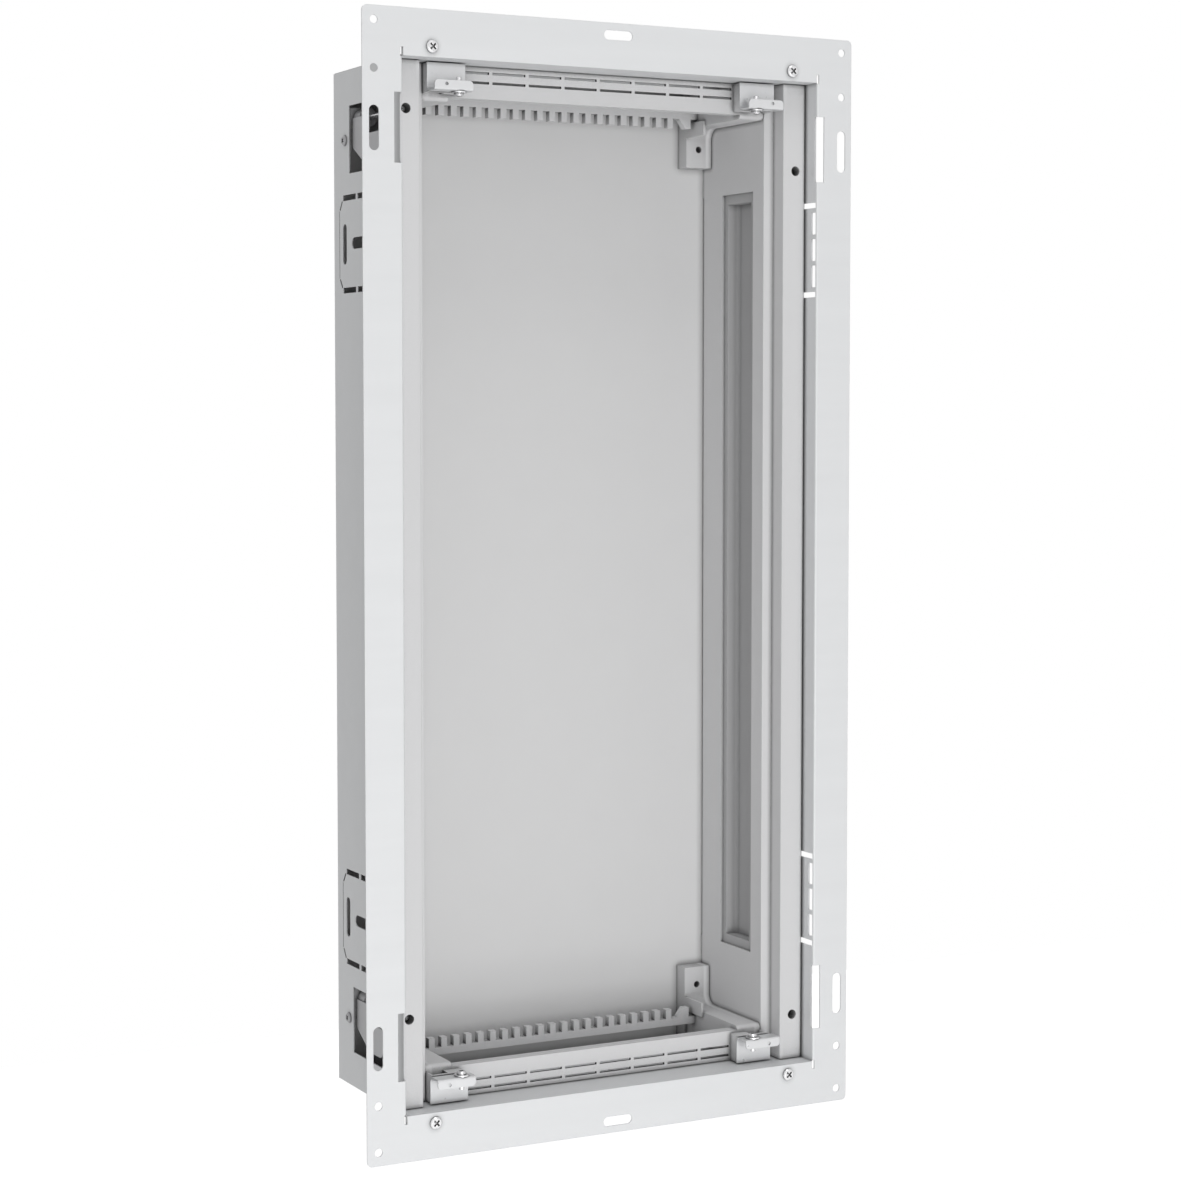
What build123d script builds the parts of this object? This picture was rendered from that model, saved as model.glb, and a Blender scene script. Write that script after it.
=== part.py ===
from build123d import *
import os

# Hollow-wall distribution board without its cover: a folded steel trough with a
# wide flange, moulded liners, cover brackets and four claws that grip the wall.
# Millimetres. X runs along the width, Y from the room into the wall, Z up.
# The origin is the middle of the flange's back face, the plane of the wall.

# Trough sheet and flange
sheet = 1.0
flange_width = 410.0
flange_height = 832.0
flange_corner_radius = 4.0
side_flange = 30.0
end_flange = 34.0
trough_depth = 128.0
bend_radius = 1.5
rear_bend_radius = 0.8
tab_width = 15.0
tab_gap = 0.5
relief_width = 2.2
relief_length = 6.8
relief_overlap = 0.8
wall_overlap = 0.4

# Flange holes and slots
flange_hole_radius = 3.0
flange_hole_inset = 9.0
corner_hole_inset = 10.0
inner_hole_inset = 44.0
side_slot_length = 32.0
side_slot_width = 7.6
side_slot_inset = 86.0
end_slot_length = 24.0
end_slot_width = 7.0
end_slot_inset = 9.0
bend_slot_height = 50.0
bend_slot_on_flange = 5.4
bend_slot_on_wall = 3.0

# Claw windows and knock-outs of the side walls, their middles inset from the end plates
window_height = 50.0
window_inset = 51.0
window_front = 20.0
window_back = 96.4
knockout_inset = 128.0
knockout_height = 73.0
knockout_front = 0.6
knockout_rear_margin = 10.4
knockout_chamfer = 8.0
knockout_slot = 4.2
knockout_dash = 5.8
knockout_bridge = 3.5
knockout_score = 0.8
score_depth = 0.4
tie_slot_length = 30.0
tie_slot_width = 7.2
tie_slot_back = 11.0
entry_slot_length = 36.0
entry_slot_width = 8.6
entry_slot_back = 25.0

# Knock-outs of the end plates
end_knockout_width = 96.0
end_knockout_depth = 60.0
end_knockout_spacing = 130.0

# Screws
screw_radius = 2.0
running_fit = 0.05
clearance_hole = 0.25
recess_depth = 1.4
recess_width = 1.3
recess_margin = 1.8
head_bevel = 1.0
flange_screw_head_radius = 4.6
flange_screw_head = 2.5
flange_screw_length = 7.0
flange_screw_inset_x = 54.0
flange_screw_inset_z = 26.5

# Side liners
liner_wall = 2.0
post_front = 15.0
post_width = 20.5
post_lip = 5.0
post_corner_radius = 2.5
liner_edge_radius = 0.8
ledge_depth = 15.0
ledge_width = 8.5
liner_slit = 2.0
liner_end_gap = 0.6
pocket_front = 46.3
pocket_width = 47.0
pocket_gap = 5.0

# Pocket inserts
insert_wall = 2.0
insert_margin = 4.0
tray_inset = 5.7
tray_end_inset = 7.5
tray_depth = 10.0
tray_radius = 3.0

# Claws, their screws and bearings
claw_axis_inset = 10.5
claw_axis_offset = 15.8
dome_radius = 5.5
dome_depth = 14.0
screw_head_radius = 3.4
screw_head_height = 3.0
screw_head_sink = 9.0
head_clearance = 0.3
claw_front = 71.0
claw_back = 95.4
claw_hub_length = 11.4
claw_hub_radius = 7.0
claw_plate = 2.0
claw_plate_gap = 1.4
claw_reach = 35.5
claw_heel = 22.0
claw_tongue = 25.0
claw_tongue_drop = 13.5
claw_corner_radius = 6.0
bush_radius = 4.0
bearing_sheet = 1.5
bearing_clear = 2.1
bearing_foot = 13.5
bearing_half_height = 8.0
bearing_reach = 17.0
bearing_corner_radius = 4.0
bearing_screw_setback = 8.1
bearing_screw_head_radius = 3.8
bearing_screw_head = 2.0
claw_screw_tail = 6.5

# End liners
end_liner_gap = 0.3
rail_front = 31.0
rail_wall = 2.5
rail_depth = 10.0
rail_height = 23.0
rail_gap = 0.8
vent_rows = (4.8, 11.8)
vent_height = 1.8
vent_pitch = 29.8
vent_bridge = 2.8
pad_front = 19.2
pad_width = 27.2
pad_window = 12.5
pad_window_inset = 1.5
shelf_step = 3.2
shelf_wall = 3.7
shelf_radius = 3.0
ring_wall = 2.0
web_setback = 41.0
web_drop = 7.5
comb_setback = 28.0
comb_depth = 6.0
comb_face = 21.5
comb_bar = 6.0
tooth_length = 7.5
tooth_width = 5.0
tooth_pitch = 10.45
end_tooth_inset = 4.2
end_tooth_base = 10.5
end_tooth_tip = 4.8
boss_width = 23.0
boss_depth = 14.0
boss_face = 58.0
boss_fillet = 9.0
boss_hole_radius = 2.6
boss_hole_depth = 12.0
boss_hole_inset_x = 11.7
boss_hole_inset_z = 43.5

# Cover brackets and their clamp screws
bracket_sheet = 1.2
bracket_width = 30.5
bracket_gap = 7.0
bracket_front = 4.0
bracket_height = 21.1
bracket_lip = 7.4
bracket_bend_radius = 4.5
lip_bend_radius = 1.8
lip_corner_radius = 3.0
lip_hole_radius = 1.3
lip_hole_end = 9.5
lip_hole_height = 4.6
clamp_screw_end = 21.3
clamp_screw_front = 5.5
clamp_washer_radius = 5.6
clamp_washer = 1.2
clamp_head_radius = 3.6
clamp_head_height = 2.4
clamp_screw_length = 10.2

# Places worked out from the sizes above
wall_out = flange_width / 2 - side_flange
wall_in = wall_out - sheet
opening_half = flange_height / 2 - end_flange
end_in = opening_half
end_out = end_in + sheet
wall_end = end_in + wall_overlap
back_out = trough_depth - sheet
back_in = back_out - 2 * sheet
hole_x = flange_width / 2 - flange_hole_inset
corner_hole_z = flange_height / 2 - corner_hole_inset
inner_hole_z = flange_height / 2 - inner_hole_inset
side_slot_z = flange_height / 2 - side_slot_inset
end_slot_z = flange_height / 2 - end_slot_inset
flange_screw_x = flange_width / 2 - flange_screw_inset_x
flange_screw_z = flange_height / 2 - flange_screw_inset_z
screw_hole_radius = screw_radius + clearance_hole
thread_hole_radius = screw_radius + running_fit
post_in = wall_in - post_width
liner_in = post_in - ledge_width
ledge_front = post_front + ledge_depth
window_middle = end_in - window_inset
knockout_middle = end_in - knockout_inset
knockout_back = back_out - knockout_rear_margin
pocket_half = window_middle - window_height / 2 - pocket_gap
pocket_middle = pocket_front + pocket_width / 2
claw_axis_x = wall_out - claw_axis_inset
claw_axis_z = window_middle + claw_axis_offset
screw_seat = post_front + screw_head_sink + screw_head_height
bearing_front = claw_back + bearing_clear
rail_out = end_in - rail_gap
rail_in = rail_out - rail_height
shelf_in = rail_in - shelf_step
comb_in = end_in - comb_face
comb_front = back_in - comb_setback
web_front = back_in - web_setback
end_liner_half = liner_in - end_liner_gap
boss_front = back_in - boss_depth
boss_in = end_in - boss_face
boss_edge = end_liner_half - boss_width
boss_hole_x = end_liner_half - boss_hole_inset_x
boss_hole_z = end_in - boss_hole_inset_z
bracket_end = post_in - bracket_gap
bracket_start = bracket_end - bracket_width
bracket_out = rail_out
bracket_in = bracket_out - bracket_height
clamp_x = bracket_end - clamp_screw_end
clamp_y = bracket_front + clamp_screw_front

os.makedirs("parts", exist_ok=True)


def cross_recess(plane, head_radius):
    """Sketch a cross recess on the plane of a screw head's face, as wide as the head allows."""
    recess_length = 2 * (head_radius - recess_margin)
    with BuildSketch(plane) as cross:
        Rectangle(recess_length, recess_width)
        Rectangle(recess_width, recess_length)
    return cross.sketch


def knockout_slots(length, height, front_dashes):
    """Sketch the slots round one knock-out: dashes on the long edges, chamfers at the far end."""
    half_length = length / 2
    half_height = height / 2
    run = length - knockout_chamfer
    dash_count = 4
    dash = (run - (dash_count - 1) * knockout_bridge) / dash_count
    for edge in (-1, 1):
        for index in range(dash_count):
            middle = -half_length + dash / 2 + index * (dash + knockout_bridge)
            with Locations((middle, edge * (half_height - knockout_slot / 2))):
                Rectangle(dash, knockout_slot)
        corner = half_length - knockout_chamfer / 2
        with Locations((corner, edge * (half_height - knockout_chamfer / 2 - knockout_bridge))):
            Rectangle(knockout_chamfer, knockout_score * 2, rotation=-55 * edge)
    if front_dashes:
        inner = height - 2 * knockout_slot - 2 * knockout_bridge
        side_dash = (inner - 2 * knockout_bridge) / 3
        with Locations((-half_length + knockout_dash / 2, 0)):
            with GridLocations(1, side_dash + knockout_bridge, 1, 3):
                Rectangle(knockout_dash, side_dash)


# Flange frame: the flange and both side walls, folded from one sheet
with BuildPart() as flange_frame:
    with BuildSketch(Plane.XZ):
        RectangleRounded(flange_width, flange_height, flange_corner_radius)
        Rectangle(2 * wall_in, 2 * opening_half, mode=Mode.SUBTRACT)
    extrude(amount=sheet)
    with BuildSketch(Plane.XY.offset(-wall_end)):
        with Locations((0, trough_depth / 2 - sheet)):
            with GridLocations(wall_in + wall_out, 1, 2, 1):
                Rectangle(sheet, trough_depth)
    extrude(amount=2 * wall_end)
    with BuildSketch(Plane.XY.offset(tab_gap - end_in)):
        with Locations((0, back_out - sheet / 2)):
            with GridLocations(2 * wall_in - tab_width, 1, 2, 1):
                Rectangle(tab_width, sheet)
    extrude(amount=2 * (end_in - tab_gap))
    with BuildSketch(Plane.XZ.offset(-sheet)):
        relief_z = opening_half - relief_overlap + relief_length / 2
        with GridLocations(wall_in + wall_out, 2 * relief_z, 2, 2):
            Rectangle(relief_width, relief_length)
    extrude(amount=2 * sheet, mode=Mode.SUBTRACT)
    long_edges = flange_frame.edges().filter_by(Axis.Z).filter_by(lambda e: e.length > opening_half)
    front_bends = long_edges.group_by(Axis.Y)[0].filter_by(lambda e: abs(e.center().X) < wall_out)
    rear_bends = long_edges.group_by(Axis.Y)[-1].filter_by(lambda e: abs(e.center().X) > wall_in + sheet / 2)
    fillet(front_bends, bend_radius)
    fillet(rear_bends, rear_bend_radius)
    with BuildSketch(Plane.XZ):
        with GridLocations(2 * hole_x, 2 * corner_hole_z, 2, 2):
            Circle(flange_hole_radius)
        with GridLocations(2 * hole_x, 2 * inner_hole_z, 2, 2):
            Circle(flange_hole_radius)
        with GridLocations(2 * hole_x, 2 * side_slot_z, 2, 2):
            SlotOverall(side_slot_length, side_slot_width, rotation=90)
        with GridLocations(1, 2 * end_slot_z, 1, 2):
            SlotOverall(end_slot_length, end_slot_width)
        with GridLocations(2 * flange_screw_x, 2 * flange_screw_z, 2, 2):
            Circle(screw_hole_radius)
    extrude(amount=sheet, mode=Mode.SUBTRACT)
    with BuildSketch(Plane.XZ.offset(sheet - bend_slot_on_wall)):
        with GridLocations(2 * wall_out, 2 * window_middle, 2, 2):
            Rectangle(2 * bend_slot_on_flange, bend_slot_height)
    extrude(amount=bend_slot_on_wall, mode=Mode.SUBTRACT)
    knockout_length = knockout_back - knockout_front
    with BuildSketch(Plane.YZ.offset(-wall_out)):
        with Locations(((window_front + window_back) / 2, 0)):
            with GridLocations(1, 2 * window_middle, 1, 2):
                Rectangle(window_back - window_front, window_height)
        for height in (-knockout_middle, knockout_middle):
            with Locations(((knockout_front + knockout_back) / 2, height)):
                knockout_slots(knockout_length, knockout_height, True)
            with Locations((knockout_back - tie_slot_back, height)):
                SlotOverall(tie_slot_length, tie_slot_width, rotation=90)
            with Locations((knockout_back - entry_slot_back - entry_slot_length / 2, height)):
                SlotOverall(entry_slot_length, entry_slot_width)
        with Locations((window_back + bearing_screw_setback, 0)):
            with GridLocations(1, 2 * window_middle, 1, 2):
                Circle(screw_hole_radius)
    extrude(amount=2 * wall_out, mode=Mode.SUBTRACT)
    score_length = knockout_height - 2 * (knockout_chamfer + knockout_bridge)
    with Locations((0, knockout_back - knockout_score, 0)):
        with GridLocations(2 * wall_out, 1, 2, 1):
            with Locations((0, 0, -knockout_middle), (0, 0, knockout_middle)):
                Box(2 * score_depth, knockout_score, score_length, mode=Mode.SUBTRACT)
flange_frame.part.label = "flange_frame"
export_step(flange_frame.part, "parts/flange_frame.step")

# Back panel, laid on the tabs at the back of the trough
with BuildPart() as back_panel:
    with BuildSketch(Plane.XZ.offset(-back_in - sheet)):
        Rectangle(2 * (wall_in - end_liner_gap), 2 * (end_in - end_liner_gap))
    extrude(amount=sheet)
back_panel.part.label = "back_panel"
export_step(back_panel.part, "parts/back_panel.step")

# End plate: a tab behind the flange, the plate itself and a tab behind the back panel
with BuildPart() as end_plate:
    tab_out = 2 * flange_screw_z - end_out
    with BuildSketch(Plane.YZ.offset(-wall_in)):
        with BuildLine():
            Polyline((0, tab_out), (0, end_in), (back_out, end_in))
            offset(amount=sheet, side=Side.LEFT)
        make_face()
    extrude(amount=2 * wall_in)
    rear_tab_half = wall_in - tab_width - 2 * tab_gap
    with BuildSketch(Plane.YZ.offset(-rear_tab_half)):
        with Locations((back_out - sheet / 2, end_in - tab_width / 2)):
            Rectangle(sheet, tab_width)
    extrude(amount=2 * rear_tab_half)
    tab_corners = end_plate.edges().filter_by(Axis.Y).group_by(Axis.Z)[-1]
    fillet(tab_corners, flange_corner_radius)
    with BuildSketch(Plane.XZ):
        with GridLocations(2 * flange_screw_x, 1, 2, 1):
            with Locations((0, flange_screw_z)):
                Circle(thread_hole_radius)
    extrude(amount=-sheet, mode=Mode.SUBTRACT)
    with BuildSketch(Plane.XY.offset(end_in)):
        with Locations((0, (comb_front + rail_front + rail_depth) / 2)):
            with GridLocations(end_knockout_spacing, 1, 2, 1):
                knockout_slots(end_knockout_width, end_knockout_depth, False)
    extrude(amount=sheet, mode=Mode.SUBTRACT)
top_end_plate = end_plate.part
top_end_plate.label = "top_end_plate"
export_step(top_end_plate, "parts/top_end_plate.step")
bottom_end_plate = end_plate.part.rotate(Axis.Y, 180)
bottom_end_plate.label = "bottom_end_plate"
export_step(bottom_end_plate, "parts/bottom_end_plate.step")

# Flange screws: pan heads on the flange, shanks in the end plates' tabs
with BuildPart() as flange_screws:
    with BuildSketch(Plane.XZ.offset(sheet)):
        with GridLocations(2 * flange_screw_x, 2 * flange_screw_z, 2, 2):
            Circle(flange_screw_head_radius)
    extrude(amount=flange_screw_head)
    rims = flange_screws.faces().sort_by(Axis.Y).group_by(Axis.Y)[0].edges()
    chamfer(rims, head_bevel)
    with BuildSketch(Plane.XZ.offset(sheet)):
        with GridLocations(2 * flange_screw_x, 2 * flange_screw_z, 2, 2):
            Circle(screw_radius)
    extrude(amount=-flange_screw_length)
    for x in (-flange_screw_x, flange_screw_x):
        for z in (-flange_screw_z, flange_screw_z):
            head = Plane((x, -sheet - flange_screw_head, z), x_dir=(1, 0, 1), z_dir=(0, -1, 0))
            extrude(cross_recess(head, flange_screw_head_radius), amount=-recess_depth, mode=Mode.SUBTRACT)
flange_screws.part.label = "flange_screws"
export_step(flange_screws.part, "parts/flange_screws.step")

# Side liner, modelled on the right: post, ledge and side wall with its long pocket window
right_claw_heights = (window_middle - claw_axis_offset, -claw_axis_z)
liner_half = end_in - liner_end_gap


def upright_edge(x, y):
    """Pick the side liner's upright edge that stands at x and y."""
    return side_liner.edges().filter_by(Axis.Z).sort_by_distance((x, y, 0))[0]


with BuildPart() as side_liner:
    with BuildSketch(Plane.XY.offset(-liner_half)):
        with BuildLine():
            Polyline(
                (wall_in, post_front + post_lip),
                (wall_in, post_front),
                (post_in, post_front),
                (post_in, ledge_front),
                (liner_in, ledge_front),
                (liner_in, back_in),
            )
            offset(amount=liner_wall, side=Side.RIGHT)
        make_face()
    extrude(amount=2 * liner_half)
    fillet(upright_edge(wall_in, post_front), post_corner_radius)
    fillet(upright_edge(post_in, post_front), liner_edge_radius)
    fillet(upright_edge(liner_in, ledge_front), liner_edge_radius)
    with BuildSketch(Plane.YZ.offset(liner_in)):
        with Locations((back_in - liner_slit / 2, 0)):
            Rectangle(liner_slit, 2 * pocket_half)
        with Locations((pocket_middle, 0)):
            Rectangle(pocket_width, 2 * pocket_half)
    extrude(amount=liner_wall, mode=Mode.SUBTRACT)
    for height in right_claw_heights:
        with BuildSketch(Plane.XZ.offset(-post_front)):
            with Locations((claw_axis_x, height)):
                Circle(dome_radius)
        extrude(amount=-dome_depth)
        with Locations(Plane((claw_axis_x, post_front, height), x_dir=(1, 0, 0), z_dir=(0, -1, 0))):
            CounterBoreHole(
                thread_hole_radius,
                screw_head_radius + head_clearance,
                screw_head_sink + screw_head_height,
                dome_depth,
            )
right_side_liner = side_liner.part
right_side_liner.label = "right_side_liner"
export_step(right_side_liner, "parts/right_side_liner.step")
left_side_liner = side_liner.part.rotate(Axis.Y, 180)
left_side_liner.label = "left_side_liner"
export_step(left_side_liner, "parts/left_side_liner.step")

# Pocket insert, modelled on the right: a tray whose flange lies against the back of the side liner
with BuildPart() as pocket_insert:
    seat = Plane.YZ.offset(liner_in + liner_wall)
    tray_width = pocket_width - 2 * tray_inset
    tray_height = 2 * (pocket_half - tray_end_inset)
    with BuildSketch(seat):
        with Locations((pocket_middle, 0)):
            Rectangle(pocket_width + 2 * insert_margin, 2 * (pocket_half + insert_margin))
    extrude(amount=insert_wall)
    with BuildSketch(seat):
        with Locations((pocket_middle, 0)):
            Rectangle(tray_width + 2 * insert_wall, tray_height + 2 * insert_wall)
    extrude(amount=tray_depth + insert_wall)
    with BuildSketch(seat):
        with Locations((pocket_middle, 0)):
            Rectangle(tray_width, tray_height)
    extrude(amount=tray_depth, mode=Mode.SUBTRACT)
    floor = pocket_insert.faces().filter_by(Axis.X).group_by(Axis.X)[-2]
    fillet(floor.edges().filter_by(Axis.Z), tray_radius)
right_pocket_insert = pocket_insert.part
right_pocket_insert.label = "right_pocket_insert"
export_step(right_pocket_insert, "parts/right_pocket_insert.step")
left_pocket_insert = pocket_insert.part.rotate(Axis.Y, 180)
left_pocket_insert.label = "left_pocket_insert"
export_step(left_pocket_insert, "parts/left_pocket_insert.step")

# End liner, modelled at the top: vent rail, bracket pads, shelves, comb and corner bosses
with BuildPart() as end_liner:
    with BuildSketch(Plane.YZ.offset(-end_liner_half)):
        with BuildLine():
            Polyline(
                (rail_front, rail_out),
                (rail_front, rail_in),
                (rail_front + rail_depth, rail_in),
            )
            offset(amount=rail_wall, side=Side.LEFT)
        make_face()
    extrude(amount=2 * end_liner_half)
    vent_span = 2 * (end_liner_half - pad_width)
    with BuildSketch(Plane.XZ.offset(-rail_front - rail_wall)):
        for row in vent_rows:
            with Locations((0, end_in - row)):
                Rectangle(vent_span - vent_bridge, vent_height)
                with GridLocations(vent_pitch, 1, int(vent_span / vent_pitch), 1):
                    Rectangle(vent_bridge, vent_height, mode=Mode.SUBTRACT)
    extrude(amount=rail_wall, mode=Mode.SUBTRACT)
    shelf_edge = boss_edge + ring_wall
    shelf_width = end_liner_half - shelf_edge
    pad_height = rail_out - bracket_in
    for side in (-1, 1):
        pad_middle = side * (end_liner_half - pad_width / 2)
        with BuildSketch(Plane.XZ.offset(-rail_front - rail_wall)):
            with Locations((pad_middle, bracket_in + pad_height / 2)):
                Rectangle(pad_width, pad_height)
        extrude(amount=rail_front + rail_wall - pad_front)
        with BuildSketch(Plane.XZ.offset(-rail_front - rail_wall)):
            with Locations((pad_middle, bracket_in + pad_height / 2)):
                Rectangle(pad_width - 2 * rail_wall, pad_height - 2 * rail_wall)
        extrude(amount=rail_front - pad_front, mode=Mode.SUBTRACT)
        window_x = side * (end_liner_half - pad_window_inset - pad_window / 2)
        with BuildSketch(Plane.XY.offset(bracket_in)):
            with Locations((window_x, (pad_front + rail_wall + rail_front) / 2)):
                Rectangle(pad_window, rail_front - rail_wall - pad_front)
        extrude(amount=rail_wall, mode=Mode.SUBTRACT)
        shelf_start = side * (end_liner_half - shelf_width / 2) - shelf_width / 2
        with BuildSketch(Plane.YZ.offset(shelf_start)) as shelf_profile:
            with Locations(((rail_front + boss_front) / 2, shelf_in + shelf_wall / 2)):
                Rectangle(boss_front - rail_front, shelf_wall)
            nose = shelf_profile.vertices().group_by(Axis.X)[0].sort_by(Axis.Y)[0]
            fillet(nose, shelf_radius)
        extrude(amount=shelf_width)
        with BuildSketch(Plane.XY.offset(shelf_in)):
            with Locations((side * (shelf_edge + ring_wall / 2), (rail_front + rail_wall + boss_front) / 2)):
                Rectangle(ring_wall, boss_front - rail_front - rail_wall)
        extrude(amount=end_in - shelf_in)
        with BuildSketch(Plane.XY.offset(shelf_in - web_drop)):
            with Locations((side * (boss_edge + ring_wall / 2), (web_front + boss_front) / 2)):
                Rectangle(ring_wall, boss_front - web_front)
        extrude(amount=web_drop + shelf_wall)
        boss_start = side * (end_liner_half - boss_width / 2) - boss_width / 2
        with BuildSketch(Plane.YZ.offset(boss_start)):
            with BuildLine():
                Polyline(
                    (boss_front, shelf_in - boss_fillet),
                    (boss_front, boss_in),
                    (back_in, boss_in),
                    (back_in, end_in),
                    (boss_front, end_in),
                    (boss_front, shelf_in + shelf_wall),
                    (boss_front - boss_fillet, shelf_in + shelf_wall),
                    (boss_front - boss_fillet, shelf_in),
                )
                CenterArc((boss_front - boss_fillet, shelf_in - boss_fillet), boss_fillet, 0, 90)
            make_face()
        extrude(amount=boss_width)
        boss_face_plane = Plane((0, boss_front, 0), x_dir=(1, 0, 0), z_dir=(0, -1, 0))
        with Locations(boss_face_plane):
            with Locations((side * boss_hole_x, boss_hole_z)):
                Hole(boss_hole_radius, boss_hole_depth)
    end_tooth = boss_edge - end_tooth_inset
    tooth_gap = tooth_pitch - tooth_width
    first_tooth = end_tooth - end_tooth_base - tooth_gap - tooth_width / 2
    tooth_count = int((2 * boss_edge - end_tooth_inset - end_tooth_base) / tooth_pitch)
    with BuildSketch(Plane.XZ.offset(-comb_front - comb_depth)):
        with Locations((0, comb_in + comb_bar / 2)):
            Rectangle(2 * shelf_edge + ring_wall, comb_bar)
        for index in range(tooth_count):
            with Locations((first_tooth - index * tooth_pitch, comb_in - tooth_length / 2)):
                Rectangle(tooth_width, tooth_length)
        with BuildLine():
            Polyline(
                (end_tooth, comb_in),
                (end_tooth - end_tooth_base, comb_in),
                (end_tooth - end_tooth_tip, comb_in - tooth_length),
                (end_tooth, comb_in - tooth_length),
                close=True,
            )
        make_face()
    extrude(amount=comb_depth)
top_end_liner = end_liner.part
top_end_liner.label = "top_end_liner"
export_step(top_end_liner, "parts/top_end_liner.step")
bottom_end_liner = mirror(end_liner.part, about=Plane.XY)
bottom_end_liner.label = "bottom_end_liner"
export_step(bottom_end_liner, "parts/bottom_end_liner.step")

# Cover bracket, modelled at the top right: plate, lug and lip folded from zinc-plated sheet
with BuildPart() as cover_bracket:
    with BuildSketch(Plane.YZ.offset(bracket_start)):
        with BuildLine():
            FilletPolyline(
                (pad_front, bracket_out),
                (pad_front, bracket_in),
                (bracket_front, bracket_in),
                (bracket_front, bracket_in + bracket_lip),
                radius=(bracket_bend_radius, lip_bend_radius),
            )
            offset(amount=bracket_sheet, side=Side.RIGHT)
        make_face()
    extrude(amount=bracket_width)
    lip_end = cover_bracket.faces().sort_by(Axis.Y)[0].edges().sort_by(Axis.Z)[-1]
    lip_corners = cover_bracket.edges().filter_by(Axis.Y).filter_by(
        lambda e: abs(e.center().Z - lip_end.center().Z) < bracket_sheet / 2
    )
    fillet(lip_corners, lip_corner_radius)
    with BuildSketch(Plane.XY.offset(bracket_in)):
        with Locations((clamp_x, clamp_y)):
            Circle(thread_hole_radius)
    extrude(amount=bracket_sheet, mode=Mode.SUBTRACT)
    with BuildSketch(Plane.XZ.offset(-bracket_front - bracket_sheet)):
        with Locations((bracket_end - lip_hole_end, bracket_in + lip_hole_height)):
            Circle(lip_hole_radius)
    extrude(amount=bracket_sheet, mode=Mode.SUBTRACT)
top_right = cover_bracket.part
top_left = mirror(top_right, about=Plane.YZ)
brackets = {
    "bracket_top_right": top_right,
    "bracket_top_left": top_left,
    "bracket_bottom_left": top_right.rotate(Axis.Y, 180),
    "bracket_bottom_right": top_left.rotate(Axis.Y, 180),
}
for name, bracket in brackets.items():
    bracket.label = name
    export_step(bracket, f"parts/{name}.step")

# Clamp screws: one through each bracket's lug, its washer head on the inside of the board
with BuildPart() as clamp_screws:
    head_face = bracket_in - clamp_washer - clamp_head_height
    for end in (-1, 1):
        for radius, length in (
            (screw_radius, clamp_screw_length),
            (clamp_washer_radius, -clamp_washer),
            (clamp_head_radius, -clamp_washer - clamp_head_height),
        ):
            with BuildSketch(Plane.XY.offset(end * bracket_in)):
                with Locations((-clamp_x, clamp_y), (clamp_x, clamp_y)):
                    Circle(radius)
            extrude(amount=end * length)
    rims = clamp_screws.faces().filter_by(lambda f: abs(abs(f.center().Z) - head_face) < sheet / 2).edges()
    chamfer(rims, head_bevel)
    for end in (-1, 1):
        for x in (-clamp_x, clamp_x):
            head = Plane((x, clamp_y, end * head_face), x_dir=(1, 1, 0), z_dir=(0, 0, -end))
            extrude(cross_recess(head, clamp_head_radius), amount=-recess_depth, mode=Mode.SUBTRACT)
clamp_screws.part.label = "clamp_screws"
export_step(clamp_screws.part, "parts/clamp_screws.step")

# Claw, modelled at the top left: a hub on the screw and a plate, with a tongue towards the wall
axis_x = -claw_axis_x
axis_z = claw_axis_z
plate_out = claw_axis_x - wall_in + claw_plate_gap
with BuildPart() as claw:
    with BuildSketch(Plane.XZ.offset(-claw_back)):
        with Locations((axis_x, axis_z)):
            Circle(claw_hub_radius)
    extrude(amount=claw_hub_length)
    with BuildSketch(Plane.YZ.offset(axis_x + plate_out)):
        with BuildLine():
            Polyline(
                (claw_front, axis_z),
                (claw_back, axis_z),
                (claw_back, axis_z - claw_heel),
                (claw_front, axis_z - claw_reach),
                (claw_front - claw_tongue, axis_z - claw_reach),
                (claw_front - claw_tongue, axis_z - claw_tongue_drop),
                (claw_front, axis_z - claw_tongue_drop),
                close=True,
            )
        make_face()
    extrude(amount=claw_plate)
    low_corners = claw.edges().filter_by(Axis.X).sort_by(Axis.Z)[0:3]
    fillet(low_corners, claw_corner_radius)
    with BuildSketch(Plane.XZ.offset(-claw_back)):
        with Locations((axis_x, axis_z)):
            Circle(bush_radius + running_fit)
    extrude(amount=claw_hub_length, mode=Mode.SUBTRACT)

# Threaded bush that carries the claw along its screw
with BuildPart() as bush:
    with BuildSketch(Plane.XZ.offset(-claw_back)):
        with Locations((axis_x, axis_z)):
            Circle(bush_radius)
            Circle(thread_hole_radius, mode=Mode.SUBTRACT)
    extrude(amount=claw_hub_length)

# Claw screw: its head in the post's dome, its tail in the bearing
with BuildPart() as claw_screw:
    with BuildSketch(Plane.XZ.offset(-screw_seat)):
        with Locations((axis_x, axis_z)):
            Circle(screw_head_radius)
    extrude(amount=screw_head_height)
    with BuildSketch(Plane.XZ.offset(-screw_seat)):
        with Locations((axis_x, axis_z)):
            Circle(screw_radius)
    extrude(amount=screw_seat - bearing_front - claw_screw_tail)
    head = Plane((axis_x, screw_seat - screw_head_height, axis_z), x_dir=(1, 0, 1), z_dir=(0, -1, 0))
    extrude(cross_recess(head, screw_head_radius), amount=-recess_depth, mode=Mode.SUBTRACT)

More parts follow.
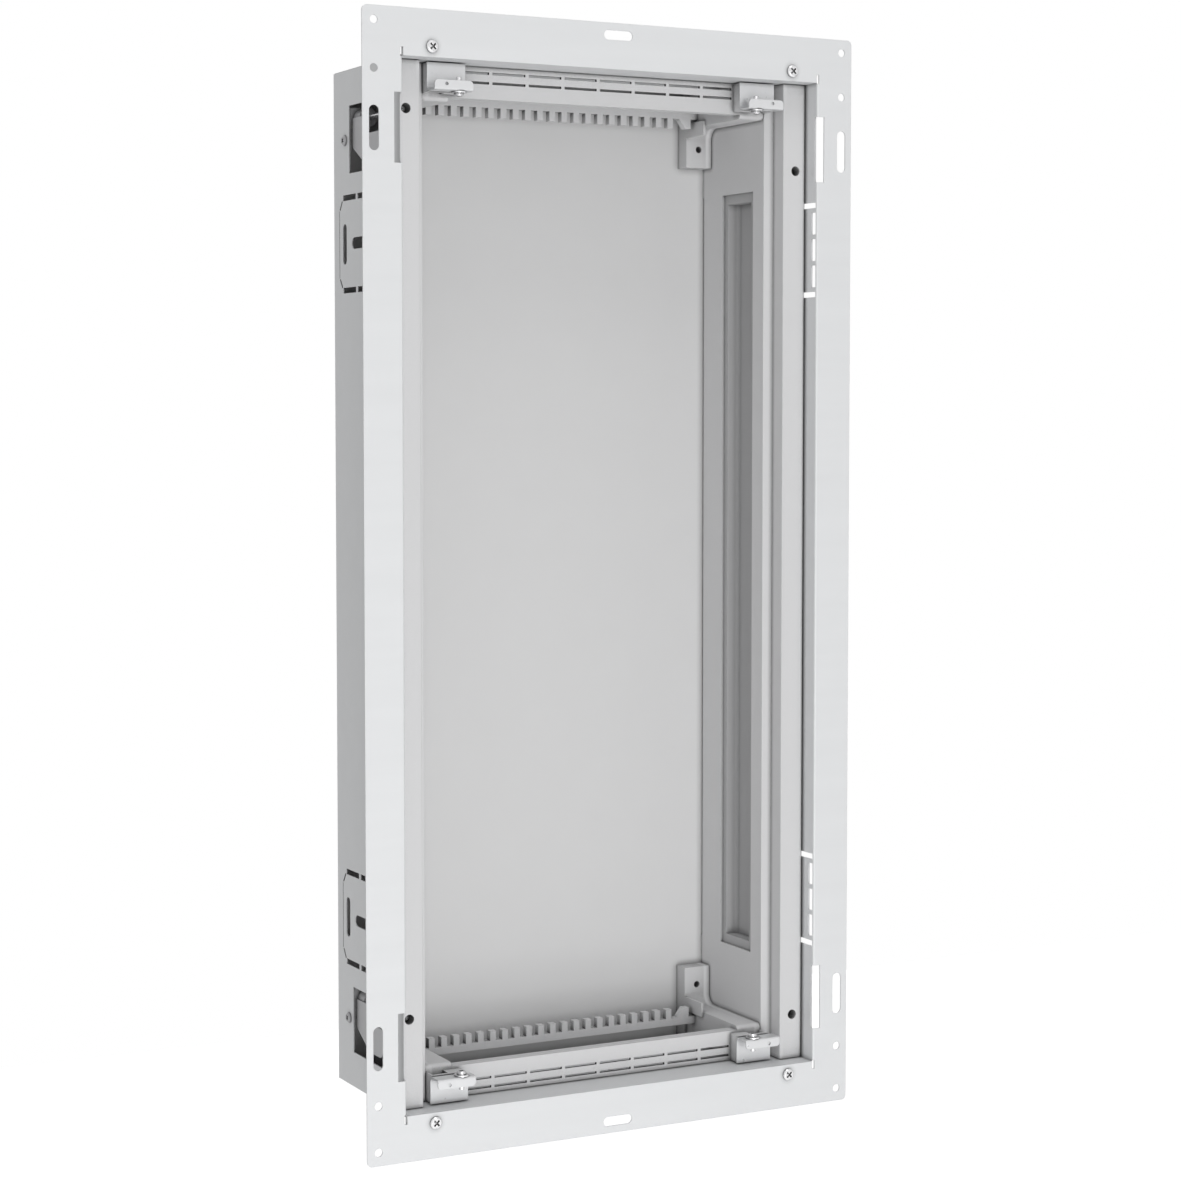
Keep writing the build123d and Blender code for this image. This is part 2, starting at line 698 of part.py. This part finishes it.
# Bearing bracket: a foot on the trough wall and a web that holds the screw's tail
with BuildPart() as bearing:
    foot_low = window_middle - bearing_half_height
    foot_high = axis_z + bearing_half_height
    with BuildSketch(Plane.YZ.offset(-wall_in)):
        with Locations((bearing_front + bearing_foot / 2, (foot_low + foot_high) / 2)):
            Rectangle(bearing_foot, foot_high - foot_low)
        with Locations((window_back + bearing_screw_setback, window_middle)):
            Circle(thread_hole_radius, mode=Mode.SUBTRACT)
    extrude(amount=bearing_sheet)
    with BuildSketch(Plane.XZ.offset(-bearing_front - bearing_sheet)):
        with Locations((-wall_in + bearing_reach / 2, axis_z)):
            Rectangle(bearing_reach, 2 * bearing_half_height)
    extrude(amount=bearing_sheet)
    web_corners = bearing.edges().filter_by(Axis.Y).group_by(Axis.X)[-1]
    fillet(web_corners, bearing_corner_radius)
    with BuildSketch(Plane.XZ.offset(-bearing_front - bearing_sheet)):
        with Locations((axis_x, axis_z)):
            Circle(thread_hole_radius)
    extrude(amount=bearing_sheet, mode=Mode.SUBTRACT)

# The four corners: the left pair are shifted copies, the right pair are turned half round
shift = Location((0, 0, -2 * window_middle))
for kind, piece in (("claw", claw.part), ("claw_bush", bush.part), ("claw_screw", claw_screw.part),
                    ("claw_bearing", bearing.part)):
    lower = shift * piece
    corners = {
        "top_left": piece,
        "bottom_left": lower,
        "bottom_right": piece.rotate(Axis.Y, 180),
        "top_right": lower.rotate(Axis.Y, 180),
    }
    for corner, copy in corners.items():
        copy.label = f"{kind}_{corner}"
        export_step(copy, f"parts/{kind}_{corner}.step")

# Bearing screws: from the outside through the trough wall into each bearing's foot
with BuildPart() as bearing_screws:
    screw_y = window_back + bearing_screw_setback
    for side in (-1, 1):
        outward = Plane((side * wall_out, screw_y, 0), x_dir=(0, 1, 0), z_dir=(side, 0, 0))
        with BuildSketch(outward):
            with GridLocations(1, 2 * window_middle, 1, 2):
                Circle(bearing_screw_head_radius)
        extrude(amount=bearing_screw_head)
        with BuildSketch(outward):
            with GridLocations(1, 2 * window_middle, 1, 2):
                Circle(screw_radius)
        extrude(amount=-2 * (sheet + bearing_sheet))
    head_face = wall_out + bearing_screw_head
    rims = bearing_screws.faces().filter_by(lambda f: abs(abs(f.center().X) - head_face) < 0.01).edges()
    chamfer(rims, head_bevel)
    for side in (-1, 1):
        for z in (-window_middle, window_middle):
            head = Plane((side * head_face, screw_y, z), x_dir=(0, 1, 1), z_dir=(side, 0, 0))
            extrude(cross_recess(head, bearing_screw_head_radius), amount=-recess_depth, mode=Mode.SUBTRACT)
bearing_screws.part.label = "bearing_screws"
export_step(bearing_screws.part, "parts/bearing_screws.step")
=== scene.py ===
import math
import bpy
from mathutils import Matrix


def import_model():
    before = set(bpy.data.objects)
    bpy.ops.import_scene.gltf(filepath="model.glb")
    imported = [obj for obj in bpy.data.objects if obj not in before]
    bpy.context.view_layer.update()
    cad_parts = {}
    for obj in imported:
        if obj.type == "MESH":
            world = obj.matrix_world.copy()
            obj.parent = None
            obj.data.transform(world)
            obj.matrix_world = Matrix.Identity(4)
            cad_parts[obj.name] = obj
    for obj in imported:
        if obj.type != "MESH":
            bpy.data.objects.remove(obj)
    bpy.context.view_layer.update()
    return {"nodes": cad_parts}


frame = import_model()
nodes = frame["nodes"]
scene = bpy.context.scene

# Steps in metres from the part's middle planes (X across, Z in height) or from the flange's back (Y):
# the painted shade changes softly from the first distance to the second.
past_bosses = (0.138, 0.140)
at_posts = (0.156, 0.158)
liner_outside = (0.1728, 0.1734)
vent_row_ends = (0.1205, 0.1215)
vent_row_heights = (0.361, 0.362)
past_rail_front = (0.0311, 0.0315)
past_rail_wall = (0.0336, 0.0345)
panel_ends = (0.352, 0.374)
past_panel_front = (0.1252, 0.1256)
wall_outside = (0.1742, 0.1746)
past_flange = (0.0012, 0.0016)
past_bend = (0.004, 0.014)
past_rail = (0.036, 0.042)

# Painted shade: what is left of the colour in those places.
vent_shade_level = 0.15
liner_outside_shade_level = 0.62
panel_end_shade_level = 0.72
bend_shade_level = 0.62

# Painted shade in hollows: reach in metres, the open share that is fully dark, the share that is clear, and
# the dark factor.
crevice_shade = (0.004, 0.1, 1.0, 0.0)
sheet_crevice_shade = (0.004, 0.0, 1.0, 0.1)
panel_crevice_shade = (0.006, 0.0, 1.0, 0.3)
insert_crevice_shade = (0.006, 0.0, 1.0, 0.2)
claw_crevice_shade = (0.006, 0.0, 1.0, 0.15)
screw_crevice_shade = (0.003, 0.4, 0.9, 0.0)
liner_deep_shade = (0.05, 0.1, 0.45, 0.1)
end_plate_deep_shade = (0.05, 0.3, 0.8, 0.0)
hollow_shade_samples = 5

specular = 0.25
edge_radius = 0.0005
edge_samples = 4
noise_detail = 5.0
rough_spread = 0.06
bump_depth = 0.0002
even = (1, 1, 1)


def value_range(tree, source, low, high, start=0.0, end=1.0):
    """Carry a value from start..end to low..high."""
    node = tree.nodes.new("ShaderNodeMapRange")
    node.inputs["From Min"].default_value = start
    node.inputs["From Max"].default_value = end
    node.inputs["To Min"].default_value = low
    node.inputs["To Max"].default_value = high
    tree.links.new(source, node.inputs["Value"])
    return node.outputs["Result"]


def before(tree, distance, step):
    """1 before a step and 0 past it."""
    return value_range(tree, distance, 1.0, 0.0, *step)


def past(tree, distance, step):
    """0 before a step and 1 past it."""
    return value_range(tree, distance, 0.0, 1.0, *step)


def maths(tree, operation, *values):
    """A maths node on one or two values."""
    node = tree.nodes.new("ShaderNodeMath")
    node.operation = operation
    for socket, value in zip(node.inputs, values):
        tree.links.new(value, socket)
    return node.outputs[0]


def product(tree, first, *others):
    """The product of several values."""
    for other in others:
        first = maths(tree, "MULTIPLY", first, other)
    return first


def painted_hollow_shade(tree, reach, shut, clear, dark):
    """Painted shade: a factor that falls to dark where less than shut of the view within reach is open."""
    node = tree.nodes.new("ShaderNodeAmbientOcclusion")
    node.samples = hollow_shade_samples
    node.inputs["Distance"].default_value = reach
    return value_range(tree, node.outputs["AO"], dark, 1.0, shut, clear)


def liner_shade(tree, place):
    """Painted shade: dark vents, bores and deep hollows, left off in the gap between boss and post, and
    dark faces against the sheet.
    """
    across = maths(tree, "ABSOLUTE", place.outputs["X"])
    height = maths(tree, "ABSOLUTE", place.outputs["Z"])
    gap = product(tree, past(tree, across, past_bosses), before(tree, across, at_posts))
    vents = product(
        tree,
        before(tree, across, vent_row_ends),
        past(tree, height, vent_row_heights),
        past(tree, place.outputs["Y"], past_rail_front),
        before(tree, place.outputs["Y"], past_rail_wall))
    return product(
        tree,
        maths(tree, "MAXIMUM", painted_hollow_shade(tree, *liner_deep_shade), gap),
        value_range(tree, vents, 1.0, vent_shade_level),
        value_range(tree, across, 1.0, liner_outside_shade_level, *liner_outside))


def panel_shade(tree, place):
    """Shade on the front of the back panel behind the vent rails."""
    height = maths(tree, "ABSOLUTE", place.outputs["Z"])
    ends = product(tree, past(tree, height, panel_ends), before(tree, place.outputs["Y"], past_panel_front))
    return value_range(tree, ends, 1.0, panel_end_shade_level)


def sheet_shade(tree, place):
    """Shade where the side walls leave the flange, and on the end plates behind the vent rails."""
    across = maths(tree, "ABSOLUTE", place.outputs["X"])
    depth = place.outputs["Y"]
    bend = product(
        tree,
        past(tree, across, wall_outside),
        past(tree, depth, past_flange),
        before(tree, depth, past_bend))
    end_plate = maths(tree, "MAXIMUM", painted_hollow_shade(tree, *end_plate_deep_shade), before(tree, depth, past_rail))
    return product(tree, value_range(tree, bend, 1.0, bend_shade_level), end_plate)


def grained_material_with_painted_shade(name, base, rough, metal, grain, amount, hollow_shades, stretch=even, bump=0.0, shade=None):
    """Noise stretched along the axes in colour and roughness, painted shade in hollows and where the shade
    function puts it, and softened edges.
    """
    mat = bpy.data.materials.new(name)
    mat.use_nodes = True
    tree = mat.node_tree
    shader = tree.nodes["Principled BSDF"]
    shader.inputs["Metallic"].default_value = metal
    shader.inputs["Specular IOR Level"].default_value = specular
    coords = tree.nodes.new("ShaderNodeTexCoord")
    mapping = tree.nodes.new("ShaderNodeMapping")
    mapping.inputs["Scale"].default_value = stretch
    noise = tree.nodes.new("ShaderNodeTexNoise")
    noise.inputs["Scale"].default_value = grain
    noise.inputs["Detail"].default_value = noise_detail
    tree.links.new(coords.outputs["Object"], mapping.inputs["Vector"])
    tree.links.new(mapping.outputs["Vector"], noise.inputs["Vector"])
    level = value_range(tree, noise.outputs["Fac"], 1.0 - amount, 1.0 + amount)
    # Painted shade: hollows and the shade function's places darken the base colour.
    for size in hollow_shades:
        level = product(tree, level, painted_hollow_shade(tree, *size))
    if shade:
        place = tree.nodes.new("ShaderNodeSeparateXYZ")
        tree.links.new(coords.outputs["Object"], place.inputs[0])
        level = product(tree, level, shade(tree, place))
    tint = tree.nodes.new("ShaderNodeVectorMath")
    tint.operation = "SCALE"
    tint.inputs[0].default_value = base
    tree.links.new(level, tint.inputs["Scale"])
    tree.links.new(tint.outputs["Vector"], shader.inputs["Base Color"])
    roughness = value_range(tree, noise.outputs["Fac"], rough - rough_spread, rough + rough_spread)
    tree.links.new(roughness, shader.inputs["Roughness"])
    edge = tree.nodes.new("ShaderNodeBevel")
    edge.samples = edge_samples
    edge.inputs["Radius"].default_value = edge_radius
    normal = edge.outputs["Normal"]
    if bump:
        relief = tree.nodes.new("ShaderNodeBump")
        relief.inputs["Strength"].default_value = bump
        relief.inputs["Distance"].default_value = bump_depth
        tree.links.new(noise.outputs["Fac"], relief.inputs["Height"])
        tree.links.new(normal, relief.inputs["Normal"])
        normal = relief.outputs["Normal"]
    tree.links.new(normal, shader.inputs["Normal"])
    return mat


sheet = grained_material_with_painted_shade(
    "galvanised sheet", base=(0.79, 0.80, 0.81), rough=0.45, metal=0.08, grain=60.0, amount=0.035,
    hollow_shades=[sheet_crevice_shade], stretch=(0.08, 1, 1), shade=sheet_shade)
panel = grained_material_with_painted_shade(
    "back panel sheet", base=(0.71, 0.71, 0.712), rough=0.6, metal=0.0, grain=30.0, amount=0.015,
    hollow_shades=[panel_crevice_shade], shade=panel_shade)
plastic = grained_material_with_painted_shade(
    "liner plastic", base=(0.70, 0.70, 0.706), rough=0.5, metal=0.0, grain=900.0, amount=0.015,
    hollow_shades=[crevice_shade], bump=0.05, shade=liner_shade)
insert = grained_material_with_painted_shade(
    "insert plastic", base=(0.48, 0.48, 0.485), rough=0.55, metal=0.0, grain=900.0, amount=0.02,
    hollow_shades=[insert_crevice_shade], bump=0.05)
zinc = grained_material_with_painted_shade(
    "bright zinc", base=(0.73, 0.735, 0.745), rough=0.3, metal=0.4, grain=200.0, amount=0.03,
    hollow_shades=[crevice_shade])
dull = grained_material_with_painted_shade(
    "dull zinc", base=(0.46, 0.46, 0.47), rough=0.45, metal=0.3, grain=200.0, amount=0.04,
    hollow_shades=[claw_crevice_shade])
turned = grained_material_with_painted_shade(
    "turned steel", base=(0.55, 0.55, 0.56), rough=0.35, metal=0.6, grain=300.0, amount=0.04,
    hollow_shades=[claw_crevice_shade], stretch=(1, 0.1, 1))
screw = grained_material_with_painted_shade(
    "screw steel", base=(0.74, 0.74, 0.75), rough=0.25, metal=0.75, grain=400.0, amount=0.04,
    hollow_shades=[screw_crevice_shade])

for name, node in nodes.items():
    if name == "back_panel":
        paint = panel
    elif name.endswith("liner"):
        paint = plastic
    elif name.endswith("insert"):
        paint = insert
    elif name.startswith(("bracket", "claw_bearing")):
        paint = zinc
    elif name == "bearing_screws":
        paint = dull
    elif "screw" in name:
        paint = screw
    elif "bush" in name:
        paint = turned
    elif name.startswith("claw"):
        paint = dull
    else:
        paint = sheet
    node.data.materials.clear()
    node.data.materials.append(paint)

cam = bpy.data.cameras.new("camera")
cam.sensor_width = 36.0
cam.lens = 80.1
cam.shift_y = -0.03
eye = bpy.data.objects.new("camera", cam)
eye.location = (-0.9268, -1.7316, 0.1334)
eye.rotation_euler = (math.radians(86.749), 0, math.radians(-27.567))
scene.collection.objects.link(eye)
scene.camera = eye


def area(name, place, size, power):
    """A square soft light at a place, turned towards the part's origin."""
    lamp = bpy.data.lights.new(name, "AREA")
    lamp.size = size
    lamp.energy = power
    obj = bpy.data.objects.new(name, lamp)
    obj.location = place
    x, y, z = (-p for p in place)
    tilt = math.acos(-z / math.sqrt(x * x + y * y + z * z))
    obj.rotation_euler = (tilt, 0, math.atan2(y, x) - math.pi / 2)
    scene.collection.objects.link(obj)


area("key", (-0.7, -3.0, -0.3), size=1.8, power=34)
area("low fill", (-0.2, -1.9, -1.0), size=1.0, power=6)
area("top fill", (0, -0.9, 2.2), size=1.0, power=9)
area("back fill", (1.3, 2.8, 0.9), size=1.8, power=34)


def backdrop(tree, plain, seen, output):
    """Show one shader to camera, glossy and transmission rays and another to the rest."""
    path = tree.nodes.new("ShaderNodeLightPath").outputs
    glossy = maths(tree, "MAXIMUM", path["Is Glossy Ray"], path["Is Transmission Ray"])
    shown = maths(tree, "MAXIMUM", path["Is Camera Ray"], glossy)
    pick = tree.nodes.new("ShaderNodeMixShader")
    for socket, source in zip(pick.inputs, (shown, plain, seen)):
        tree.links.new(source, socket)
    tree.links.new(pick.outputs[0], output)


world = bpy.data.worlds.new("studio")
scene.world = world
world.use_nodes = True
world_tree = world.node_tree
sky = world_tree.nodes["Background"]
sky.inputs["Color"].default_value = (1, 1, 1, 1)
sky.inputs["Strength"].default_value = 0.39
white = world_tree.nodes.new("ShaderNodeBackground")
white.inputs["Color"].default_value = (1, 1, 1, 1)
backdrop(world_tree, sky.outputs[0], white.outputs[0], world_tree.nodes["World Output"].inputs["Surface"])

bpy.ops.mesh.primitive_plane_add(size=10, location=(0, 0, -1.6))
floor = bpy.context.object
floor.name = "floor"
paper = bpy.data.materials.new("paper")
paper.use_nodes = True
paper_tree = paper.node_tree
matt = paper_tree.nodes["Principled BSDF"]
matt.inputs["Base Color"].default_value = (0.8, 0.8, 0.8, 1)
matt.inputs["Roughness"].default_value = 0.9
glow = paper_tree.nodes.new("ShaderNodeEmission")
glow.inputs["Strength"].default_value = 0.75
lit = paper_tree.nodes.new("ShaderNodeAddShader")
paper_tree.links.new(matt.outputs[0], lit.inputs[0])
paper_tree.links.new(glow.outputs[0], lit.inputs[1])
backdrop(paper_tree, matt.outputs[0], lit.outputs[0], paper_tree.nodes["Material Output"].inputs["Surface"])
floor.data.materials.append(paper)

scene.view_settings.view_transform = "Standard"
